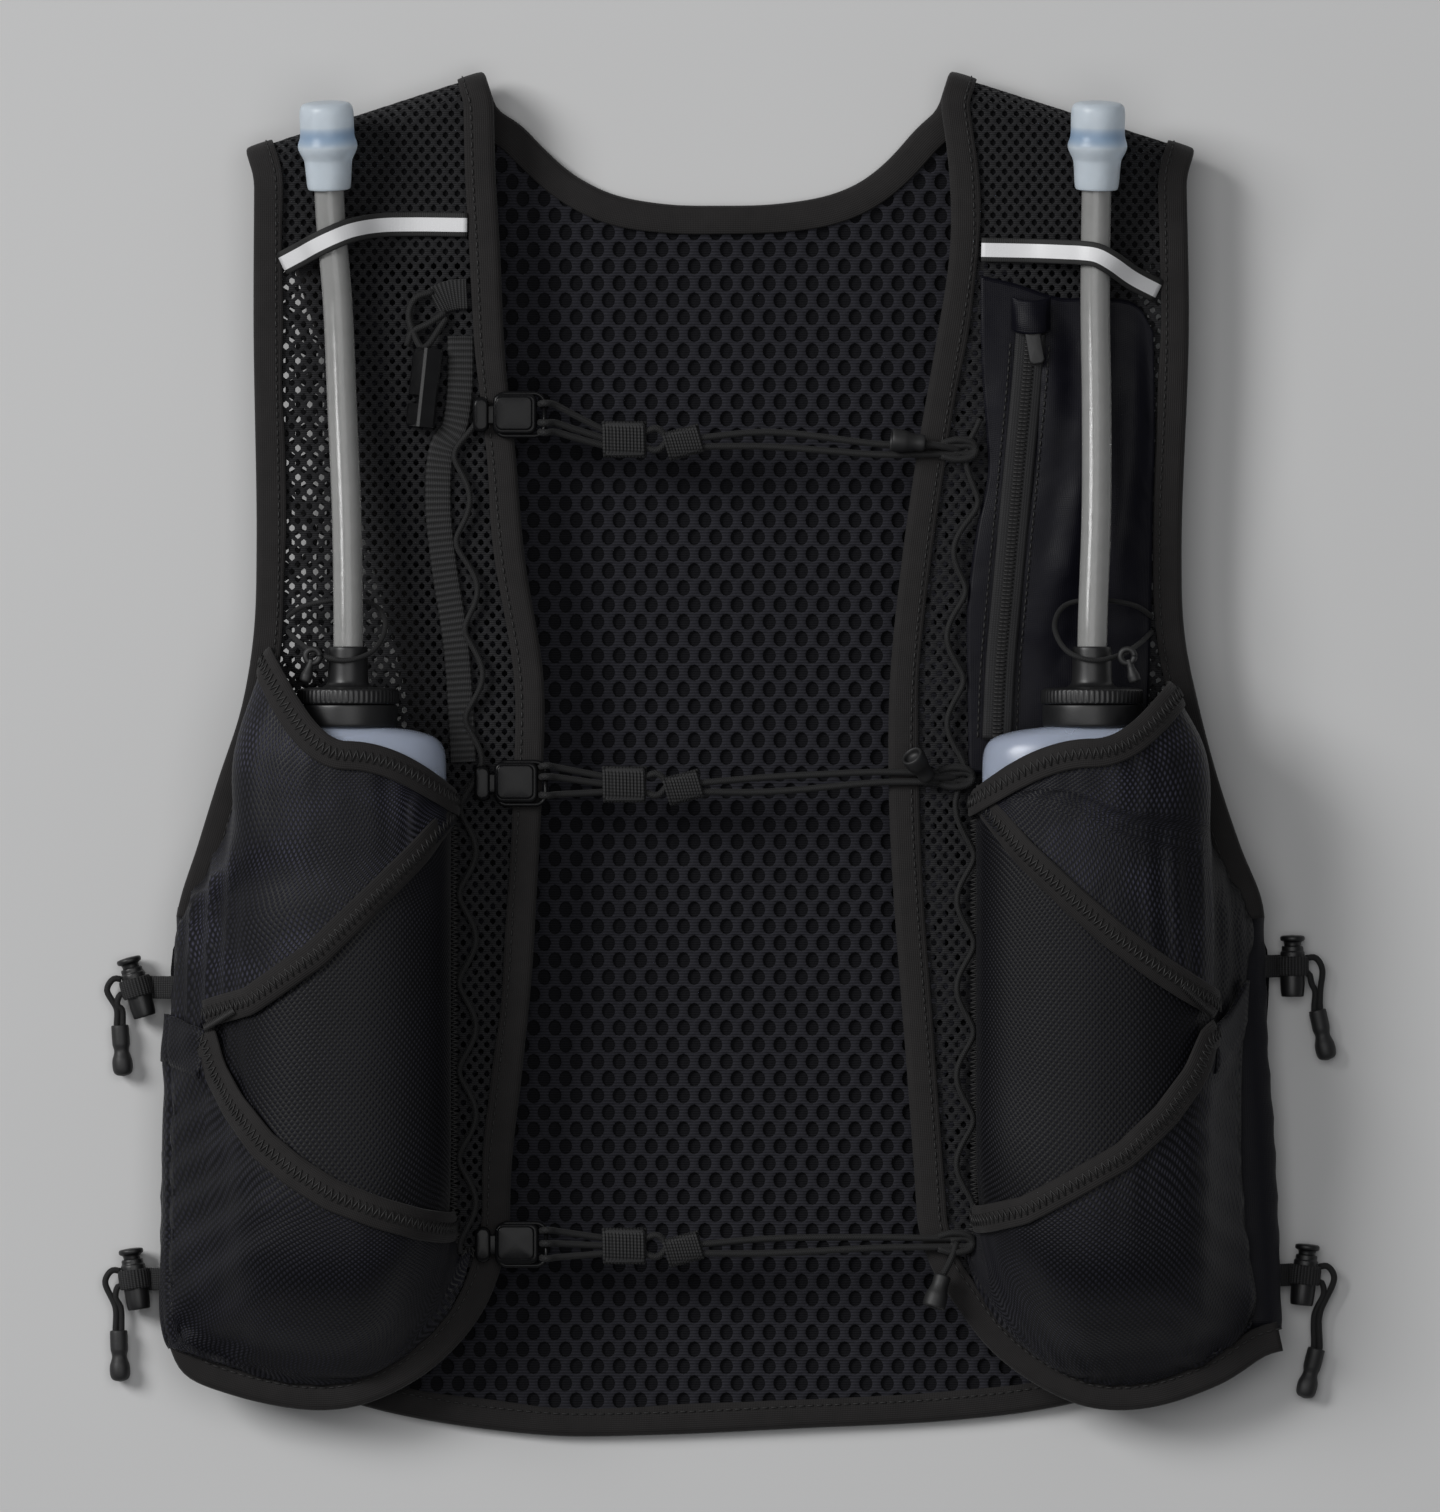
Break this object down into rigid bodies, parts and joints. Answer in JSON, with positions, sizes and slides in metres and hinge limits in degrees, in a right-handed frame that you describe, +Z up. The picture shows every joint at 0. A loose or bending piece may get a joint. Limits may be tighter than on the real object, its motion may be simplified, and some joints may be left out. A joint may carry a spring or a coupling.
{
  "type": "running vest",
  "caption": "Mesh running vest lying flat, with soft flasks and straws in stretch front pockets, cord chest straps with buckles, a zipped chest pocket and side cord locks.",
  "frame": {"origin": "on the surface that the vest lies on, under the middle of its outline", "axes": "+Z up from the surface, +Y from the hem to the shoulders, +X to the right of someone looking down at the front"},
  "size_m": [0.4086, 0.4518, 0.0688],
  "materials": {
    "spacer_mesh": "black spacer mesh with open honeycomb cells",
    "open_mesh": "black open mesh with small staggered holes",
    "stretch_knit": "navy black stretch knit with a fine dot texture",
    "woven_nylon": "navy woven nylon with a soft sheen",
    "binding": "charcoal folded binding tape",
    "webbing": "black ribbed webbing",
    "reflective": "light grey reflective tape",
    "elastic": "black braided elastic cord",
    "black_plastic": "black moulded plastic",
    "rubber": "black moulded rubber",
    "flask_film": "translucent bluish soft plastic film",
    "straw": "translucent grey tube",
    "silicone": "translucent bluish white silicone"
  },
  "bodies": {
    "root": {"back_panel": "spacer_mesh", "hem_binding": "binding", "front_panel_left": "open_mesh", "front_panel_right": "open_mesh", "edge_binding": "binding", "arm_binding_left": "binding", "arm_binding_right": "binding", "side_gusset_left": "woven_nylon", "side_gusset_right": "woven_nylon", "flask_pocket_left": "stretch_knit", "flask_pocket_right": "stretch_knit", "upper_pocket_left": "stretch_knit", "upper_pocket_right": "stretch_knit", "lower_pocket_left": "stretch_knit", "lower_pocket_right": "stretch_knit", "mouth_tape_left": "binding", "mouth_tape_right": "binding", "cross_tape_left": "binding", "cross_tape_right": "binding", "chest_pocket": "woven_nylon", "chest_zip": "woven_nylon", "zip_puller": "rubber", "flask_body_left": "flask_film", "flask_body_right": "flask_film", "flask_cap_left": "black_plastic", "flask_cap_right": "black_plastic", "straw_left": "straw", "straw_right": "straw", "bite_valve_left": "silicone", "bite_valve_right": "silicone", "straw_keeper_left": "reflective", "straw_keeper_right": "reflective", "daisy_webbing": "webbing", "strap_buckle_top": "black_plastic", "strap_buckle_mid": "black_plastic", "strap_buckle_low": "black_plastic", "chest_strap_top": "elastic", "chest_strap_mid": "elastic", "chest_strap_low": "elastic", "side_lock_left_upper": "black_plastic", "side_lock_left_lower": "black_plastic", "side_lock_right_upper": "black_plastic", "side_lock_right_lower": "black_plastic", "side_tab_left_upper": "webbing", "side_tab_left_lower": "webbing", "side_tab_right_upper": "webbing", "side_tab_right_lower": "webbing", "side_cord_left_upper": "elastic", "side_cord_left_lower": "elastic", "side_cord_right_upper": "elastic", "side_cord_right_lower": "elastic", "whistle": "black_plastic", "whistle_tab": "webbing", "neck_loop_left": "elastic", "neck_loop_right": "elastic", "loop_pull_left": "rubber", "loop_pull_right": "rubber"}
  },
  "joints": []
}
